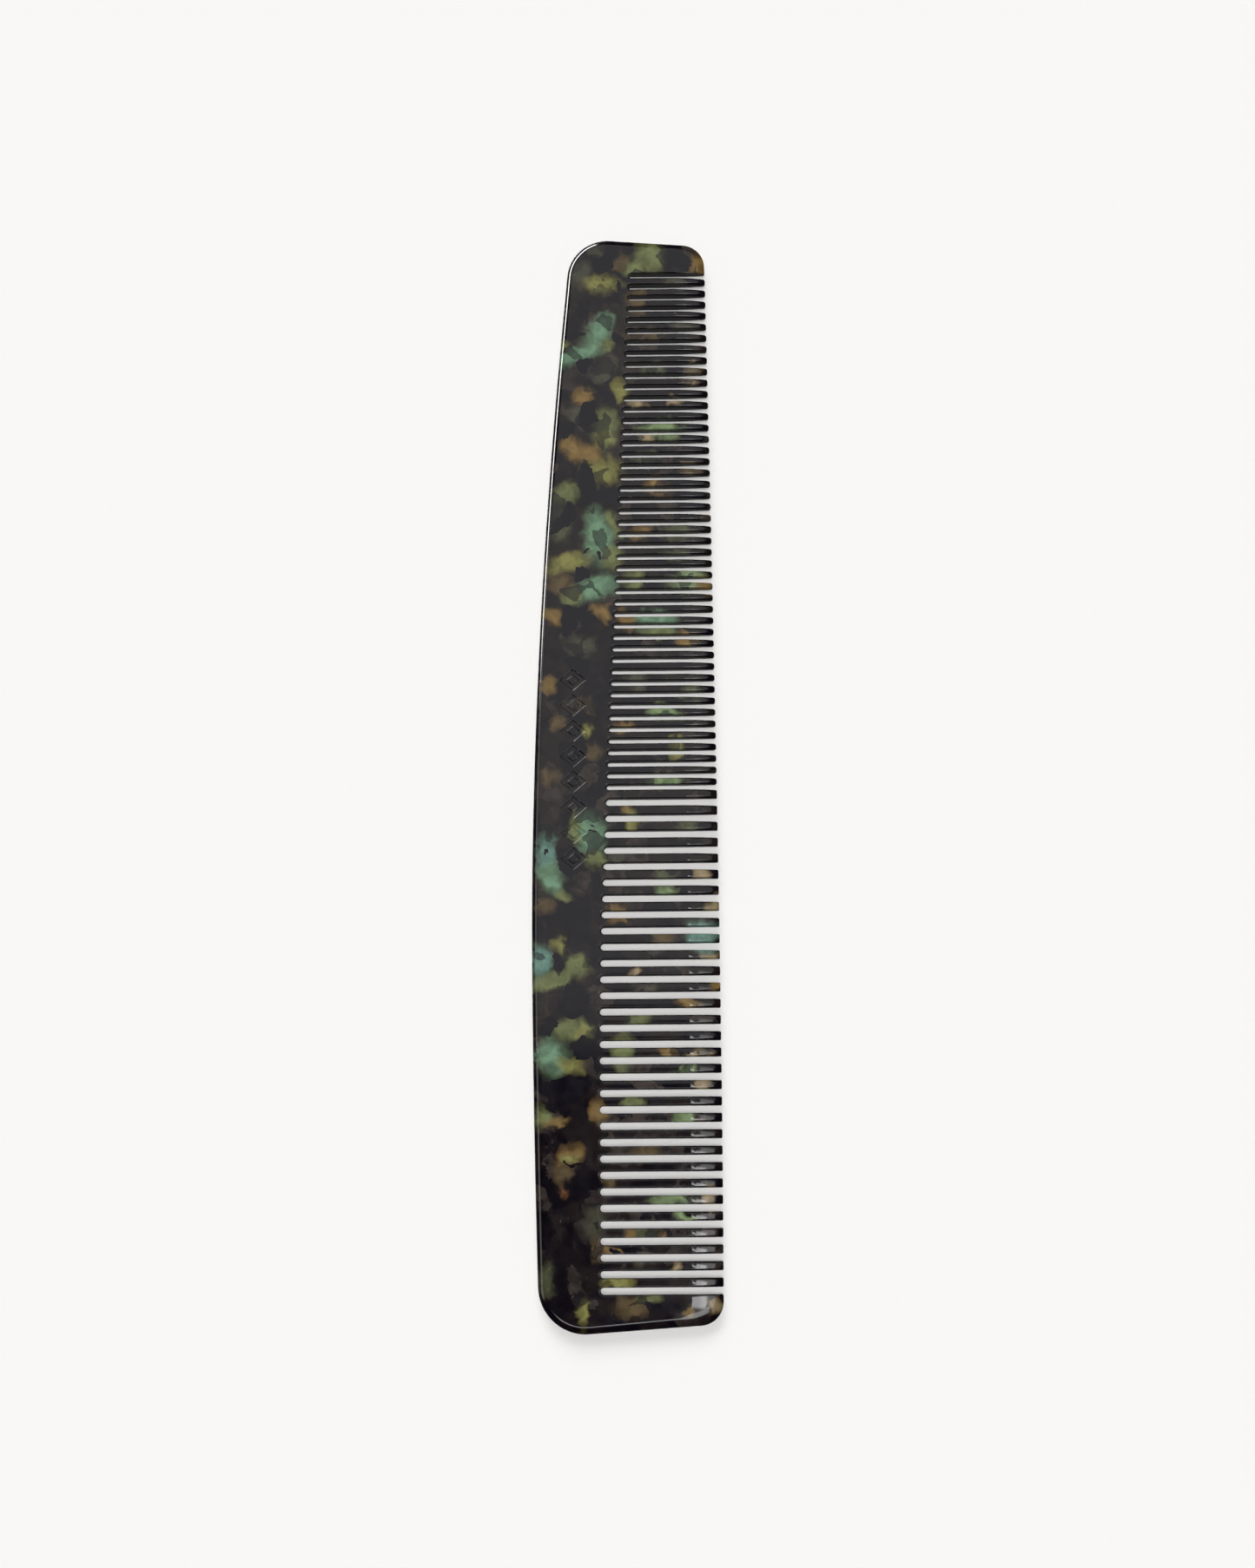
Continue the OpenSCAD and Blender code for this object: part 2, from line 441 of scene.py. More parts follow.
def corners(side, e, t):
    """For the fine end (side 1) or the coarse end (side -1): both corner arcs' centres and radii, and the
    angle at which the end's straight line leaves them."""
    back_r = FINE_BACK_R if side > 0 else COARSE_BACK_R
    fall = FINE_END_FALL if side > 0 else COARSE_END_FALL
    back_c = (back_x(side * (half_l - back_r)) + back_r, side * (half_l - back_r))
    tip_c = (tip_x(side * half_l) - TIP_R - t + e, side * (half_l - fall - TIP_R))
    dx, dy = tip_c[0] - back_c[0], tip_c[1] - back_c[1]
    lean = math.degrees(math.acos((back_r - TIP_R) / math.hypot(dx, dy)))
    return (back_c, back_r - e), (tip_c, TIP_R - e), math.degrees(math.atan2(dy, dx)) + side * lean


def end_y(side, x, e, t):
    """Where the end's straight line crosses a given x."""
    (back_c, back_r), _, angle = corners(side, e, t)
    nx, ny = math.cos(math.radians(angle)), math.sin(math.radians(angle))
    reach = back_c[0] * nx + back_c[1] * ny + back_r
    return (reach - x * nx) / ny


# %% [markdown]
# ## The spine
# The spine is the long back of the comb, from one end to the other, with a half-round scallop where each gap
# ends. Its outline goes round the fine end, down the bowed back, round the coarse end, and back along the
# scallops. It could be cut with seventy-seven cylinders, but one outline gives cleaner faces.

# %% Model the spine
BACK_STEPS = 60
SCALLOP_STEPS = 14
# The slope of the bowed back, in degrees, where each corner's arc leaves it
BACK_SLOPE_FINE, BACK_SLOPE_COARSE = 5.9, 1.6


def spine_ring(level):
    h, e, t, g = level
    fine_back, _, fine_angle = corners(1, e, t)
    coarse_back, _, coarse_angle = corners(-1, e, t)
    fine_root, coarse_root = gap_ends[-1][1], gap_ends[0][1]
    points = [(fine_root, end_y(1, fine_root, e, t))]
    points += arc(*fine_back, fine_angle, 180 - BACK_SLOPE_FINE)
    reach = half_l - CURVE_STOP
    for i in range(BACK_STEPS + 1):
        y = reach - 2 * reach * i / BACK_STEPS
        points.append((back_x(y) + e, y))
    points += arc(*coarse_back, 180 + BACK_SLOPE_COARSE, 360 + coarse_angle)
    points.append((coarse_root, end_y(-1, coarse_root, e, t)))
    for (y, gap), (_, x) in zip(gaps, gap_ends):
        r = gap / 2 + g
        scallop = arc((x, y), r, -90, -270, SCALLOP_STEPS)
        points.append((root_line(y - r), y - r))
        points += scallop[1:-1]
        points.append((root_line(y + r), y + r))
    return [(x, y, mid_z + h) for x, y in points]


spine = raise_rings("spine", [spine_ring(level) for level in levels])
say(spine)

# %% [markdown]
# ## The pressed row
# A plain row of open lozenges is pressed into the back, where such a comb often carries a stamped mark. One
# lozenge is a four-sided circle, stretched, inset and hollowed to a frame. Eight copies cut shallow grooves
# with one Boolean, and a fine bevel softens their rims, because a hot die never leaves a sharp edge.

# %% Press the lozenges
LOZENGES, LOZENGE_PITCH = 8, 4.4
LOZENGE_X, LOZENGE_HALF_W, LOZENGE_HALF_L = -8.8, 2.1, 1.75
GROOVE_W, GROOVE_DEPTH = 0.6, 0.35
GROOVE_RIM = 0.2
row_y = (middle_tooth[0] + middle_tooth[1]) / 2 + LOZENGE_PITCH
top_z = high[2] / MM

bpy.ops.object.select_all(action="DESELECT")
bpy.ops.mesh.primitive_circle_add(vertices=4, radius=MM, fill_type="NGON")
lozenge = bpy.context.object
start_edit(lozenge)
bpy.ops.mesh.select_all(action="SELECT")
bpy.ops.transform.resize(value=(LOZENGE_HALF_W, LOZENGE_HALF_L, 1))
bpy.ops.mesh.inset(thickness=GROOVE_W * MM)
bpy.ops.mesh.delete(type="FACE")
bpy.ops.mesh.select_all(action="SELECT")
bpy.ops.mesh.extrude_region_move(TRANSFORM_OT_translate={"value": (0, 0, 2 * MM)})
end_edit()

dies = []
for i in range(LOZENGES):
    die = twin_of(lozenge, f"die_{i}")
    y = row_y + (i - (LOZENGES - 1) / 2) * LOZENGE_PITCH
    die.data.transform(Matrix.Translation(Vector((LOZENGE_X, y, top_z - GROOVE_DEPTH)) * MM))
    dies.append(die)
bpy.data.objects.remove(lozenge)
dies = join(dies, "dies")
outward(dies)

only(spine)
press = spine.modifiers.new("press", "BOOLEAN")
press.object = dies
press.operation = "DIFFERENCE"
press.solver = "MANIFOLD"
bpy.ops.object.modifier_apply(modifier=press.name)
bpy.data.objects.remove(dies)


# %% Soften the rims of the grooves
def edge_normals(obj):
    """For each edge of obj, the normals of the faces beside it."""
    beside = {}
    for face in obj.data.polygons:
        for key in face.edge_keys:
            beside.setdefault(key, []).append(face.normal.copy())
    return beside


ROW_MARGIN = 0.1
LEVEL_MARGIN = 0.01
SHARP_TURN = 1.0


def on_groove_rim(obj):
    """A test for the sharp edges of the pressed row that lie in the top face."""
    beside = edge_normals(obj)
    row_reach = LOZENGE_PITCH * LOZENGES / 2
    near_top = (top_z - LEVEL_MARGIN) * MM

    def test(edge):
        a, b = (obj.data.vertices[i].co for i in edge.vertices)
        middle = (a + b) / 2 / MM
        across = abs(middle.x - LOZENGE_X) < LOZENGE_HALF_W + ROW_MARGIN
        along = abs(middle.y - row_y) < row_reach
        sides = beside[tuple(sorted(edge.vertices))]
        sharp = len(sides) == 2 and sides[0].angle(sides[1], 0) > SHARP_TURN
        return across and along and sharp and min(a.z, b.z) > near_top

    return test


rims = pick_edges(spine, on_groove_rim(spine))
bpy.ops.mesh.bevel(offset=GROOVE_RIM * MM, segments=3, affect="EDGES")
end_edit()
print("groove rim edges:", rims)
say(spine)

# %% [markdown]
# ## The two ends
# Beyond the last gap on each side the sheet is left solid, which protects the outermost teeth. Such an end
# runs from the root line out to a rounded corner and shares the spine's section where they meet. Its tip is
# bevelled like the teeth, and the bevel meets the end's rounding in a mitre.

# %% Model the fine end and the coarse end
GUARD_CORNER = 0.3
CORNER_STEPS = 6
# The slope of the tip line, in degrees, where the corner's arc meets it
TIP_LEAN = 1.8


def guard_ring(side, inner_y, level):
    """The outline of a solid end at one level. inner_y is its face towards the teeth."""
    h, e, t, g = level
    _, tip, angle = corners(side, e, t)
    x0 = root_line(side * half_l)
    y_in = inner_y + side * g
    (cx, cy), r = tip
    stop_x, stop_y = tip_x(side * (half_l - CURVE_STOP)) - t, side * (half_l - CURVE_STOP)
    lean = math.radians(TIP_LEAN)
    arc_x, arc_y = cx + r * math.cos(lean), cy + side * r * math.sin(lean)
    tip_in_x = stop_x + (arc_x - stop_x) * (y_in - stop_y) / (arc_y - stop_y)
    c = GUARD_CORNER
    points = [(x0, y_in)]
    points += arc((tip_in_x - c, y_in + side * c), c, -90 * side, 0, CORNER_STEPS)
    points += arc((cx, cy), r, side * TIP_LEAN, angle)
    points.append((x0, end_y(side, x0, e, t)))
    return [(x, y, mid_z + h) for x, y in points]


fine_inner = fine_teeth[-1][1] + fine_gap
coarse_inner = coarse_teeth[0][0] - coarse_gap
fine_end = raise_rings("fine_end", [guard_ring(1, fine_inner, level) for level in levels])
coarse_end = raise_rings("coarse_end", [guard_ring(-1, coarse_inner, level) for level in levels])
say(fine_end)
say(coarse_end)

# %% [markdown]
# ## The teeth
# A tooth is a slim bar with rounded long edges. Towards its tip it thins from above and below, its rounded
# sides widen, and its very tip is rounded off. One tooth of each width is raised ring by ring along X, and
# every other tooth is a copy, moved to its place, with its root set back to the root line and its tip moved
# to the tip line.

# %% Section of a tooth
QUARTER = 5
TEMPLATE_TIP = 20.0
# How much higher the upper rounding gets by the tip, and the most of a half thickness that it may take
RIM_GROWTH = 0.25
MOST_ROUND = 0.85
BEVEL_STOPS = (0.03, 0.08, 0.16, 0.28, 0.42, 0.58, 0.74, 0.88)
CAP_ANGLES = (0, 25, 45, 65, 82)


def section(x, half_y, half_z, over, under):
    """The rounded oblong of points round a tooth at one place along it. Its long edges above and below are
    quarter ovals, each given by its width and its height."""
    points = []
    for side_y, side_z in ((1, 1), (-1, 1), (-1, -1), (1, -1)):
        round_y, round_z = over if side_z > 0 else under
        quarter = [math.radians(90 * i / (QUARTER - 1)) for i in range(QUARTER)]
        if side_y * side_z < 0:
            quarter.reverse()
        for a in quarter:
            y = half_y - round_y * (1 - math.cos(a))
            z = half_z - round_z * (1 - math.sin(a))
            points.append((x, side_y * y, mid_z + side_z * z))
    return points


def tooth_rings(width, widen, cap_plan, cap_side):
    """Rings from the root, at x = 0, to the tip, for a template tooth. widen is what its rounding gains in
    width by the tip, and the very tip is rounded over cap_plan in plan and cap_side in height."""
    tip = TEMPLATE_TIP
    half_y = width / 2
    over, under = (RIM_R, RIM_R), (UNDER_W, UNDER_H)
    rings = [section(x, half_y, FULL, over, under) for x in (0, tip - TIP_BEVEL)]
    last = 1 - cap_plan / TIP_BEVEL
    for v in [stop * last for stop in BEVEL_STOPS] + [last]:
        half_z = FULL - (FULL - TIP_HALF) * tip_drop(v)
        over = (RIM_R + widen * v, min(RIM_R + RIM_GROWTH * v, MOST_ROUND * half_z))
        under = (UNDER_W, min(UNDER_H, MOST_ROUND * half_z))
        rings.append(section(tip - TIP_BEVEL * (1 - v), half_y, half_z, over, under))
    for degrees in CAP_ANGLES[1:]:
        a = math.radians(degrees)
        x = tip - cap_plan * (1 - math.sin(a))
        v = 1 - (tip - x) / TIP_BEVEL
        half_z = FULL - (FULL - TIP_HALF) * tip_drop(v) - cap_side * (1 - math.cos(a))
        side = half_y - cap_plan * (1 - math.cos(a))
        shrink = side / half_y
        over = ((RIM_R + widen) * shrink, MOST_ROUND * half_z)
        under = (UNDER_W * shrink, MOST_ROUND * half_z)
        rings.append(section(x, side, half_z, over, under))
    return rings


def make_tooth(name, width, widen, cap_plan, cap_side):
    return raise_rings(name, tooth_rings(width, widen, cap_plan, cap_side))


fine_tooth = make_tooth("fine_tooth", FINE_TOOTH, 0.1, 0.38, 0.3)
coarse_tooth = make_tooth("coarse_tooth", COARSE_TOOTH, 0.14, 0.22, 0.25)
middle_bar = make_tooth("middle_tooth", MIDDLE_TOOTH, 0.14, 0.22, 0.25)
say(fine_tooth)
say(coarse_tooth)


# %% Copy the teeth into their rows
SMOOTH_BELOW = 42


def set_tooth(template, name, span):
    """Copies the template to a tooth's place, and fits its root and its tip to the comb's two lines."""
    tooth = twin_of(template, name)
    middle = (span[0] + span[1]) / 2
    to_tip = tip_x(middle) - TEMPLATE_TIP
    for vertex in tooth.data.vertices:
        y = middle + vertex.co.y / MM
        if vertex.co.x < MM:
            vertex.co.x = root_line(y) * MM
        else:
            vertex.co.x += to_tip * MM
        vertex.co.y = y * MM
    return tooth


fine_row = [set_tooth(fine_tooth, f"fine_{i}", span) for i, span in enumerate(fine_teeth)]
coarse_row = [set_tooth(coarse_tooth, f"coarse_{i}", span) for i, span in enumerate(coarse_teeth)]
coarse_row.append(set_tooth(middle_bar, "middle", middle_tooth))
for template in (fine_tooth, coarse_tooth, middle_bar):
    bpy.data.objects.remove(template)
fine_row = join(fine_row, "fine_tooth_row")
coarse_row = join(coarse_row, "coarse_tooth_row")
for piece in (spine, fine_end, coarse_end, fine_row, coarse_row):
    polish(piece, SMOOTH_BELOW)
    say(piece)

# %% [markdown]
# ## The acetate
# Mottled acetate is made by pressing chips of coloured sheet together. Near the surface a chip shows its
# colour, deeper down it glows dimly, and dark chips lie across it with jagged edges. The clouds below are
# listed one by one, each with its middle, its half width and half length in millimetres, its turn in degrees
# and its colour.

# %% Colours of the chips
TEAL = (0.125, 0.225, 0.135)
BLUE = (0.11, 0.21, 0.17)
GREEN = (0.16, 0.225, 0.10)
OLIVE = (0.125, 0.145, 0.055)
LEAF = (0.18, 0.175, 0.05)
AMBER = (0.17, 0.11, 0.036)
BROWN = (0.075, 0.055, 0.028)
RED = (0.10, 0.05, 0.025)
TAN = (0.25, 0.19, 0.105)
DIM = (0.045, 0.047, 0.036)
MOSS = (0.062, 0.073, 0.042)

# %% Clouds of colour
CLOUDS = [
    # the fine end
    (5.0, 91.2, 2.4, 2.6, 20, OLIVE), (2.0, 89.3, 1.8, 1.6, 0, OLIVE), (-0.3, 90.3, 1.5, 1.5, 0, BROWN),
    (13.5, 90.0, 1.5, 2.0, 0, AMBER), (-4.5, 92.0, 1.8, 1.2, 0, DIM), (-7.5, 88.0, 2.0, 2.4, 0, DIM),
    (-3.4, 86.3, 2.6, 1.8, 0, LEAF), (2.8, 83.0, 2.0, 2.3, 0, BROWN), (9.0, 86.0, 2.2, 1.4, 0, DIM),
    (-9.0, 73.0, 3.0, 1.5, 15, TEAL), (-5.6, 75.0, 1.9, 2.2, 0, TEAL), (-3.6, 78.6, 2.4, 1.8, 30, TEAL),
    (-2.6, 75.6, 1.2, 1.4, 0, OLIVE), (-10.3, 75.4, 1.4, 1.0, 0, OLIVE), (-2.5, 72.0, 1.8, 1.6, 0, DIM),
    (4.0, 77.0, 3.3, 1.3, 0, BROWN), (10.5, 78.5, 2.4, 1.2, 0, DIM), (-3.5, 70.0, 2.0, 1.2, 0, DIM),
    (-7.0, 66.7, 1.5, 1.5, 0, AMBER), (-8.0, 63.5, 1.8, 1.6, 0, DIM), (-0.8, 67.0, 1.3, 1.8, 0, LEAF),
    (12.0, 70.0, 1.3, 1.8, 0, TAN), (2.5, 65.0, 1.4, 0.8, 0, TAN), (10.0, 65.0, 1.4, 0.8, 0, TAN),
    (5.5, 71.0, 2.0, 1.4, 0, MOSS),
    # the fine half
    (-3.0, 60.0, 2.0, 3.4, 0, OLIVE), (-3.3, 58.7, 1.3, 1.4, 0, LEAF), (6.5, 60.3, 3.6, 1.6, 0, GREEN),
    (4.0, 59.0, 1.4, 1.0, 0, TAN), (-8.5, 57.3, 1.9, 1.9, 0, AMBER), (-6.0, 56.0, 2.2, 1.8, 0, AMBER),
    (-3.0, 53.0, 3.2, 2.2, 0, LEAF), (-10.3, 48.7, 1.6, 2.4, -35, OLIVE),
    (-11.8, 46.3, 1.6, 1.3, 0, MOSS), (6.3, 49.8, 2.2, 1.6, 0, AMBER), (4.5, 55.5, 2.4, 1.0, 0, MOSS),
    (2.6, 42.0, 1.9, 1.3, 0, AMBER), (-4.3, 41.3, 2.4, 4.6, 0, TEAL), (-2.2, 37.8, 1.8, 2.0, 0, OLIVE),
    (-1.4, 43.5, 1.0, 2.2, 0, OLIVE), (-11.0, 42.8, 2.0, 2.0, 0, MOSS),
    (-9.5, 36.8, 3.8, 1.6, 15, LEAF), (-4.8, 32.5, 3.5, 2.0, 20, TEAL),
    (-8.6, 31.0, 1.8, 1.4, 0, OLIVE), (-11.0, 33.0, 2.0, 1.6, 0, BROWN),
    (-12.3, 27.3, 1.7, 1.4, 0, AMBER), (-3.4, 28.3, 1.5, 1.3, 0, AMBER),
    (2.0, 33.8, 2.0, 1.6, 0, OLIVE), (11.5, 33.4, 3.4, 1.7, 0, GREEN), (14.2, 32.8, 1.4, 1.3, 0, AMBER),
    (5.5, 26.5, 3.6, 1.9, 0, TEAL), (0.6, 26.5, 1.6, 1.6, 0, AMBER), (6.0, 24.5, 3.0, 0.9, 0, OLIVE),
    (11.0, 23.5, 1.8, 1.2, 0, AMBER), (9.5, 42.0, 2.6, 1.4, 0, MOSS), (11.5, 53.0, 1.6, 1.4, 0, BROWN),
    (-7.6, 22.5, 2.4, 1.8, 0, DIM), (9.0, 38.0, 2.4, 1.0, 0, MOSS),
    # the middle
    (-13.3, 15.3, 1.4, 1.6, 0, AMBER), (-6.0, 12.0, 1.6, 1.3, 0, BROWN),
    (-11.5, 9.0, 1.4, 1.3, 0, BROWN), (-6.5, 7.5, 1.1, 1.3, 0, LEAF), (-5.5, 4.0, 1.4, 1.2, 0, BROWN),
    (-12.5, 0.0, 1.8, 1.5, 0, BROWN), (7.0, 10.5, 2.6, 1.3, 0, GREEN), (0.0, 8.5, 1.3, 1.2, 0, AMBER),
    (8.7, 4.3, 1.4, 1.9, 0, LEAF), (7.0, -1.0, 3.0, 1.1, 0, GREEN), (2.0, 16.0, 2.0, 1.4, 0, DIM),
    (11.5, 14.0, 1.8, 1.4, 0, MOSS), (-6.2, -10.2, 2.4, 3.4, 0, TEAL),
    (-5.2, -14.6, 2.0, 1.4, 0, OLIVE), (-8.6, -9.4, 1.2, 2.2, 0, OLIVE),
    (-13.6, -13.4, 1.8, 3.2, 0, BLUE), (-12.6, -17.8, 2.0, 2.6, 25, TEAL),
    (-10.8, -20.6, 1.4, 1.0, 0, OLIVE), (0.2, -6.0, 1.1, 1.5, 0, AMBER), (1.2, -8.3, 1.4, 2.0, 0, LEAF),
    (6.5, -17.5, 1.6, 2.0, 0, MOSS), (12.7, -17.0, 1.3, 1.1, 0, TAN), (11.0, -9.5, 2.0, 1.4, 0, MOSS),
    (-1.0, -14.5, 1.4, 1.6, 0, DIM),
    # the coarse half
    (-14.0, -22.5, 1.6, 1.4, 0, BROWN), (-11.3, -29.0, 1.4, 1.5, 0, LEAF),
    (-14.6, -32.0, 1.9, 3.2, 0, BLUE), (-8.3, -32.8, 2.2, 2.0, 0, OLIVE),
    (-12.4, -35.2, 3.2, 1.1, 15, OLIVE), (-9.5, -43.3, 3.4, 1.7, 0, OLIVE),
    (-7.8, -43.6, 1.5, 1.1, 0, LEAF), (-13.0, -48.0, 3.0, 2.8, 0, TEAL),
    (-9.6, -49.4, 1.8, 1.4, 0, LEAF), (-5.2, -57.0, 1.1, 1.8, 0, AMBER),
    (13.3, -28.0, 2.8, 2.5, 0, BLUE), (14.0, -31.2, 1.6, 0.9, 0, TAN), (15.0, -22.5, 1.3, 1.3, 0, TAN),
    (7.0, -20.0, 1.7, 1.2, 0, GREEN), (-1.5, -24.0, 2.0, 1.5, 0, AMBER),
    (6.5, -28.0, 1.8, 1.3, 0, BROWN), (1.3, -33.5, 1.1, 0.8, 0, TAN), (10.2, -39.3, 1.7, 1.0, 0, AMBER),
    (15.0, -36.5, 1.1, 1.0, 0, AMBER), (2.0, -42.0, 1.9, 1.3, 0, OLIVE),
    (-0.5, -47.5, 1.9, 3.2, 0, OLIVE), (7.3, -47.5, 1.4, 1.0, 0, AMBER),
    (12.0, -47.5, 2.0, 0.9, 0, TAN), (9.5, -50.3, 1.9, 1.0, 0, GREEN), (12.5, -53.0, 1.3, 1.0, 0, TAN),
    (0.8, -55.8, 1.9, 1.0, 0, OLIVE), (3.5, -37.0, 2.0, 1.0, 0, DIM),
    # the coarse end
    (-14.5, -58.0, 1.4, 1.9, 0, OLIVE), (-12.3, -59.2, 2.0, 0.9, 0, AMBER),
    (-10.0, -64.5, 2.2, 1.5, 10, AMBER), (-10.2, -65.0, 1.3, 0.9, 0, LEAF),
    (-11.0, -67.5, 1.8, 2.0, 0, BROWN), (-11.3, -70.6, 1.1, 0.9, 0, RED),
    (-5.5, -76.0, 2.2, 2.4, 0, DIM), (-5.0, -80.5, 1.6, 2.0, 0, BROWN),
    (-14.0, -84.8, 1.3, 2.5, 0, MOSS), (-7.3, -91.0, 1.1, 2.5, 0, LEAF),
    (9.5, -58.3, 2.0, 0.9, 0, GREEN), (-3.0, -68.7, 1.5, 1.2, 0, BROWN),
    (7.5, -72.0, 3.2, 1.2, 0, GREEN), (13.5, -72.0, 1.0, 1.9, 0, TAN), (9.3, -74.7, 1.8, 0.9, 0, GREEN),
    (3.0, -77.5, 3.0, 1.3, 0, MOSS), (0.5, -77.5, 0.9, 0.9, 0, AMBER), (6.0, -78.0, 0.9, 0.9, 0, AMBER),
    (-2.5, -80.7, 2.1, 0.6, 0, AMBER), (7.5, -83.0, 0.8, 1.5, 0, TAN), (-1.5, -85.8, 2.9, 1.0, 0, LEAF),
    (3.0, -82.0, 1.6, 1.2, 0, DIM), (1.0, -90.0, 3.0, 1.8, 0, BROWN), (3.5, -88.5, 1.6, 0.9, 0, OLIVE),
    (9.7, -90.5, 1.2, 1.0, 0, AMBER), (14.5, -90.0, 1.2, 1.5, 0, TAN), (3.0, -64.0, 2.6, 1.2, 0, BROWN),
]

# %% Dark chips
CHIPS = [
    (-3.0, 89.6, 1.8, 1.8, 0), (-0.8, 86.0, 0.6, 1.2, 20), (10.6, 90.2, 1.2, 2.4, 10),
    (-8.5, 77.3, 1.7, 1.0, 25), (-6.3, 71.9, 1.3, 1.1, 0), (-0.6, 76.6, 1.0, 1.4, 0),
    (-9.6, 60.6, 2.4, 1.6, 20), (-5.8, 63.2, 1.2, 1.6, 0), (-6.2, 51.6, 1.6, 2.6, 20),
    (-10.0, 44.6, 3.4, 1.3, 55), (-6.3, 38.6, 0.7, 0.3, 20), (-4.3, 38.0, 0.4, 0.6, 0),
    (-7.2, 34.4, 1.8, 0.9, 15), (5.0, 33.2, 1.2, 1.4, 0), (-9.6, 27.0, 1.4, 2.4, 0),
    (-7.6, 19.0, 2.8, 1.8, 0), (-9.0, 3.4, 2.0, 2.0, 0), (-13.8, -13.2, 0.4, 0.6, 0),
    (-6.1, -9.0, 0.4, 0.3, 0), (-6.1, -10.3, 0.5, 0.3, 30), (-9.8, -15.4, 1.2, 2.4, 15),
    (-8.0, -24.0, 2.6, 2.0, 0), (-12.0, -32.2, 1.0, 1.4, 20), (-15.2, -27.0, 1.0, 1.5, 0),
    (-9.0, -38.6, 2.4, 2.3, 15), (-13.0, -42.6, 1.2, 1.4, 0), (-7.6, -47.0, 1.3, 1.7, 0),
    (-11.0, -53.4, 4.6, 2.2, 0), (-9.4, -65.9, 1.2, 0.3, -35), (-11.0, -62.2, 0.6, 0.9, 0),
    (-1.6, -80.2, 1.2, 0.4, 10), (3.6, -89.8, 0.9, 0.9, 30),
]
print("clouds:", len(CLOUDS), "dark chips:", len(CHIPS))

# %% [markdown]
# ## Wiring the material
# All the patterns read Object coordinates, turned into millimetres. Every piece has its place in its mesh, so
# a cloud runs on from the spine into the teeth without a break. Small helpers add a node, set it up and join
# it to the ones before.

# %% Start the material and its helpers
acetate = bpy.data.materials.new("mottled_acetate")
acetate.use_nodes = True
tree = acetate.node_tree
shader = tree.nodes["Principled BSDF"]


def add(kind, **settings):
    node = tree.nodes.new(kind)
    for key, value in settings.items():
        setattr(node, key, value)
    return node


def feed(node, socket, source):
    """Joins a node's output to an input, or sets the input to a plain value."""
    if isinstance(source, bpy.types.NodeSocket):
        tree.links.new(source, node.inputs[socket])
    else:
        node.inputs[socket].default_value = source


def vector_math(operation, a, b=None, scale=None):
    node = add("ShaderNodeVectorMath", operation=operation)
    feed(node, 0, a)
    if b is not None:
        feed(node, 1, b)
    if scale is not None:
        feed(node, "Scale", scale)
    return node.outputs["Value"] if operation == "LENGTH" else node.outputs["Vector"]


def maths(operation, a, b):
    node = add("ShaderNodeMath", operation=operation)
    feed(node, 0, a)
    feed(node, 1, b)
    return node.outputs[0]


def spread(value, start, stop, low_value=0.0, high_value=1.0):
    """A value's run from start to stop, turned smoothly into a run between two other values."""
    node = add("ShaderNodeMapRange", interpolation_type="SMOOTHSTEP")
    for socket, source in enumerate((value, start, stop, low_value, high_value)):
        feed(node, socket, source)
    return node.outputs["Result"]


def blend_colour(share, below, above):
    node = add("ShaderNodeMix", data_type="RGBA")
    feed(node, 0, share)
    feed(node, 6, below if isinstance(below, bpy.types.NodeSocket) else (*below, 1))
    feed(node, 7, above if isinstance(above, bpy.types.NodeSocket) else (*above, 1))
    return node.outputs[2]


def noise(place, scale, detail):
    node = add("ShaderNodeTexNoise", noise_dimensions="3D")
    feed(node, "Vector", place)
    feed(node, "Scale", scale)
    feed(node, "Detail", detail)
    return node


def shifted(place, scale, detail, amount):
    """Moves places about by a noise, by up to half the amount each way."""
    cloud = noise(place, scale, detail)
    centred = vector_math("SUBTRACT", cloud.outputs["Color"], (0.5, 0.5, 0.5))
    return vector_math("ADD", place, vector_math("SCALE", centred, scale=amount))


# %% Places in millimetres, and their warped copies
# Heights count for less than lengths, so that a chip reaches deep into the sheet
PLACE_SCALE = (1000, 1000, 700)

coordinates = add("ShaderNodeTexCoord")
to_mm = add("ShaderNodeMapping", vector_type="POINT")
feed(to_mm, "Vector", coordinates.outputs["Object"])
to_mm.inputs["Scale"].default_value = PLACE_SCALE
place = to_mm.outputs["Vector"]
soft_place = shifted(shifted(place, 0.22, 1.0, 3.0), 0.6, 1.5, 2.4)
jagged_place = shifted(shifted(place, 0.3, 0.0, 3.0), 1.1, 1.6, 1.3)


def flat(source):
    return vector_math("MULTIPLY", source, (1, 1, 0))


soft_flat = flat(soft_place)
jagged_flat = flat(jagged_place)


# %% [markdown]
# ## Ground, clouds and chips
# The ground is nearly black, with a little brown and indigo drifting through it. Each cloud is an oval: a
# Mapping node moves it to the middle and scales it to size, so that the length of the result is one on its
# rim, and a smooth step turns that into a soft mask. Chips use the same trick with a hard step on more
# jagged places.

# %% Build up the colour
def oval(source, after, x, y, half_x, half_y, degrees):
    """One on the rim of an oval, less inside it. Adding nothing from the colour before it puts the ovals in
    a chain, so that the renderer works through them one at a time and never holds them all at once."""
    chained = add("ShaderNodeVectorMath", operation="MULTIPLY_ADD")
    feed(chained, 0, after)
    feed(chained, 1, (0, 0, 0))
    feed(chained, 2, source)
    node = add("ShaderNodeMapping", vector_type="TEXTURE")
    feed(node, "Vector", chained.outputs["Vector"])
    node.inputs["Location"].default_value = (x, y, 0)
    node.inputs["Rotation"].default_value = (0, 0, math.radians(degrees))
    node.inputs["Scale"].default_value = (half_x, half_y, 1)
    return vector_math("LENGTH", node.outputs["Vector"])


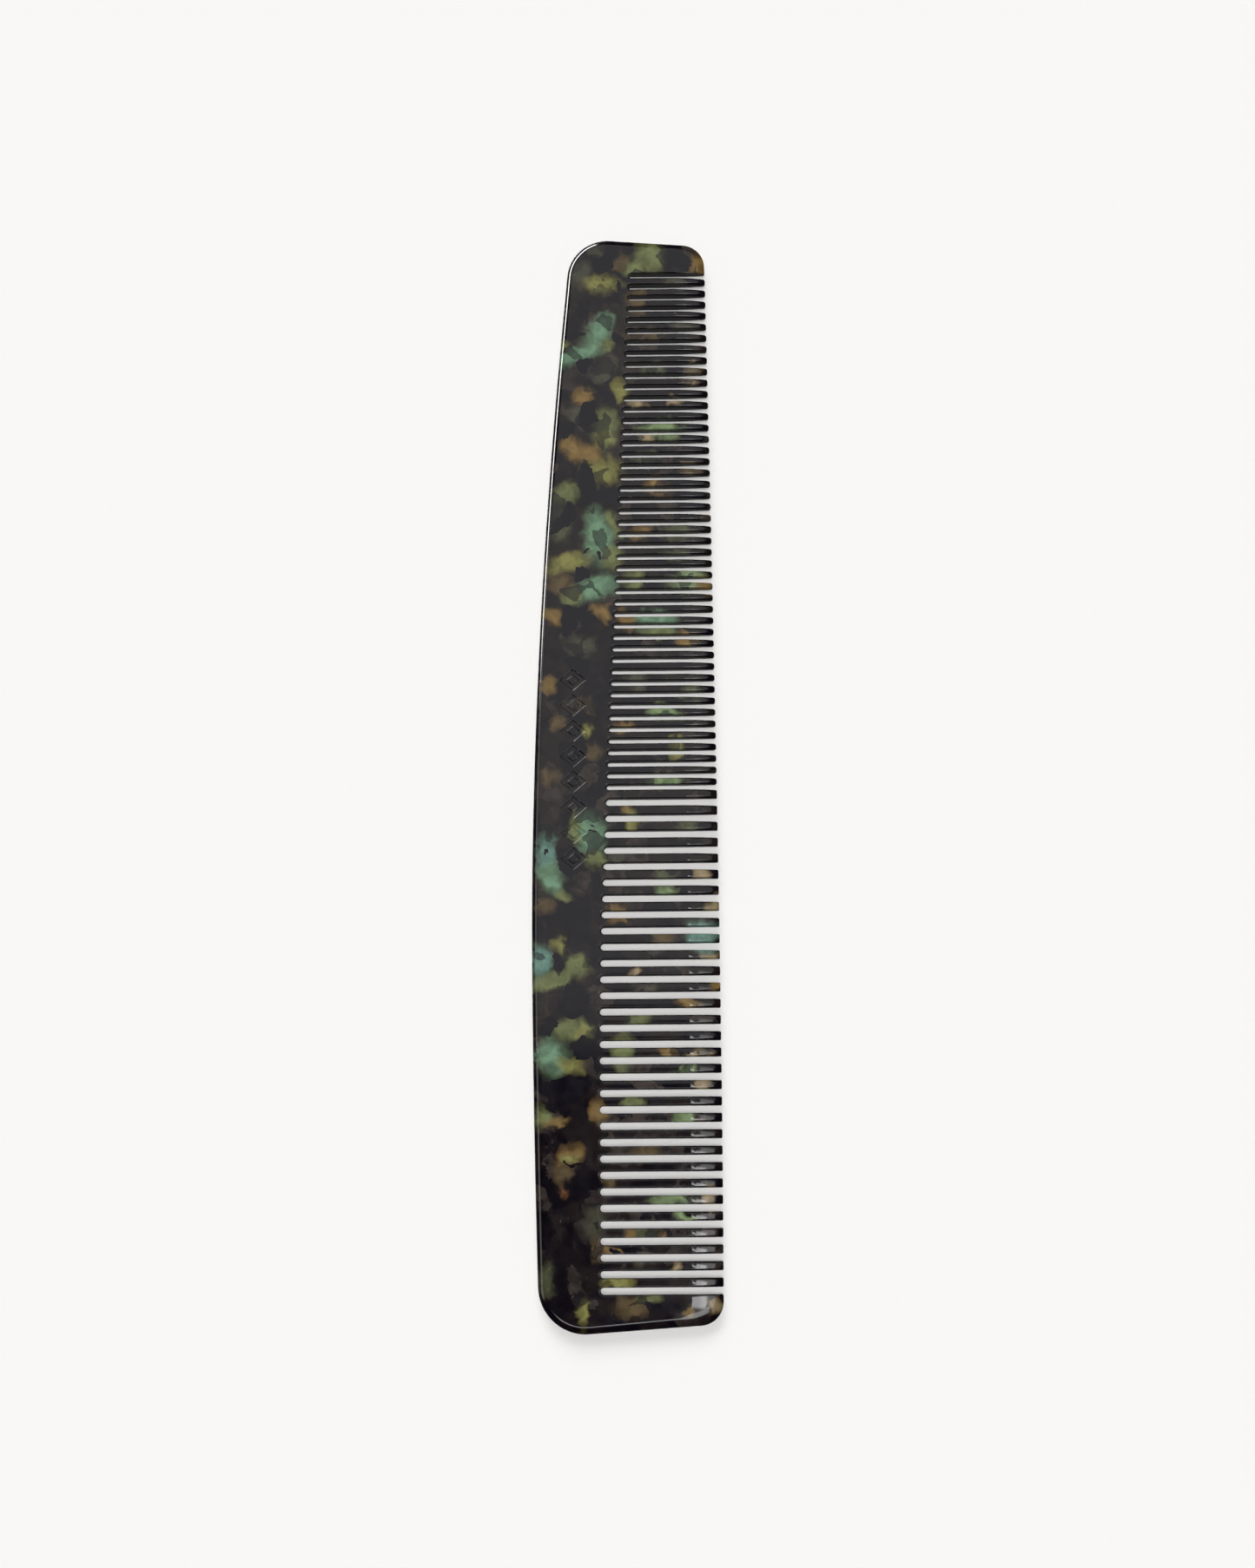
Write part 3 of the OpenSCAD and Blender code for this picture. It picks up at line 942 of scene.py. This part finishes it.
# A cloud fades in between these two distances, and a chip's edge is between these two, as shares of its size
CLOUD_OUTER, CLOUD_INNER = 1.5, 0.35
CHIP_OUTER, CHIP_INNER = 1.04, 0.96
SCATTER_SHARE = 0.7

GROUND_DARK = (0.0035, 0.0026, 0.0058)
GROUND_BROWN = (0.0105, 0.0078, 0.0095)
PLATE = (0.033, 0.028, 0.028)
drift = noise(soft_place, 0.16, 2.0)
colour = blend_colour(spread(drift.outputs["Fac"], 0.42, 0.62), GROUND_DARK, GROUND_BROWN)
plates = add("ShaderNodeTexVoronoi", voronoi_dimensions="3D", feature="F1")
feed(plates, "Vector", jagged_place)
feed(plates, "Scale", 0.24)
plate_pick = add("ShaderNodeSeparateColor")
feed(plate_pick, "Color", plates.outputs["Color"])
plate_share = maths("MULTIPLY", spread(plate_pick.outputs["Green"], 0.55, 1.0),
                    spread(noise(soft_place, 0.35, 1.0).outputs["Fac"], 0.35, 0.6))
colour = blend_colour(plate_share, colour, PLATE)
for x, y, half_x, half_y, degrees, tint in CLOUDS:
    distance = oval(soft_flat, colour, x, y, half_x, half_y, degrees)
    share = spread(distance, CLOUD_OUTER, CLOUD_INNER)
    colour = blend_colour(share, colour, tint)

# Thin and deep parts of a chip look browner, and its body is never quite even
depth = add("ShaderNodeRGBToBW")
feed(depth, 0, colour)
edge_tint = blend_colour(spread(depth.outputs[0], 0.02, 0.15), (1.1, 1.0, 0.85), (1.0, 1.0, 1.0))
body = spread(noise(soft_place, 0.55, 2.0).outputs["Fac"], 0.3, 0.7, 0.72, 1.15)
colour = vector_math("MULTIPLY", colour, edge_tint)
colour = vector_math("SCALE", colour, scale=body)
for x, y, half_x, half_y, degrees in CHIPS:
    distance = oval(jagged_flat, colour, x, y, half_x, half_y, degrees)
    share = spread(distance, CHIP_OUTER, CHIP_INNER)
    colour = blend_colour(share, colour, GROUND_DARK)

# %% Scattered chips
chips = add("ShaderNodeTexVoronoi", voronoi_dimensions="3D", feature="F1")
feed(chips, "Vector", jagged_place)
feed(chips, "Scale", 0.37)
picked = add("ShaderNodeSeparateColor")
feed(picked, "Color", chips.outputs["Color"])
scattered = spread(picked.outputs["Red"], 0.80, 0.88)
colour = blend_colour(maths("MULTIPLY", scattered, SCATTER_SHARE), colour, GROUND_DARK)
feed(shader, "Base Color", colour)

# %% [markdown]
# ## Polish
# Tumbled acetate is very glossy but never as flat as glass: the surface waves slightly, so reflections have
# soft, wandering edges. A faint bump from a broad noise gives that, and the roughness drifts a little.

# %% Gloss and waviness
shader.inputs["IOR"].default_value = 1.49
feed(shader, "Roughness", spread(noise(place, 0.5, 3.0).outputs["Fac"], 0.3, 0.7, 0.07, 0.12))
waves = noise(place, 0.09, 1.0)
bump = add("ShaderNodeBump")
feed(bump, "Height", waves.outputs["Fac"])
bump.inputs["Strength"].default_value = 0.35
bump.inputs["Distance"].default_value = 0.00005
feed(shader, "Normal", bump.outputs["Normal"])
print("nodes in the acetate:", len(tree.nodes))

# %% [markdown]
# ## Hand over
# Every piece takes the acetate, rides on the one body of the comb, and says which frame nodes it stands for.

# %% Dress the pieces and finish
stands_for = {
    "spine": ("fine_back", "coarse_back"),
    "fine_end": ("fine_end_guard",),
    "coarse_end": ("coarse_end_guard",),
    "fine_tooth_row": ("fine_teeth",),
    "coarse_tooth_row": ("coarse_teeth",),
}
for piece in (spine, fine_end, coarse_end, fine_row, coarse_row):
    piece.data.materials.clear()
    piece.data.materials.append(acetate)
    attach(piece, "root")
    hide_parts(*stands_for[piece.name])
    print(piece.name, "stands for", stands_for[piece.name])

bpy.ops.object.select_all(action="DESELECT")
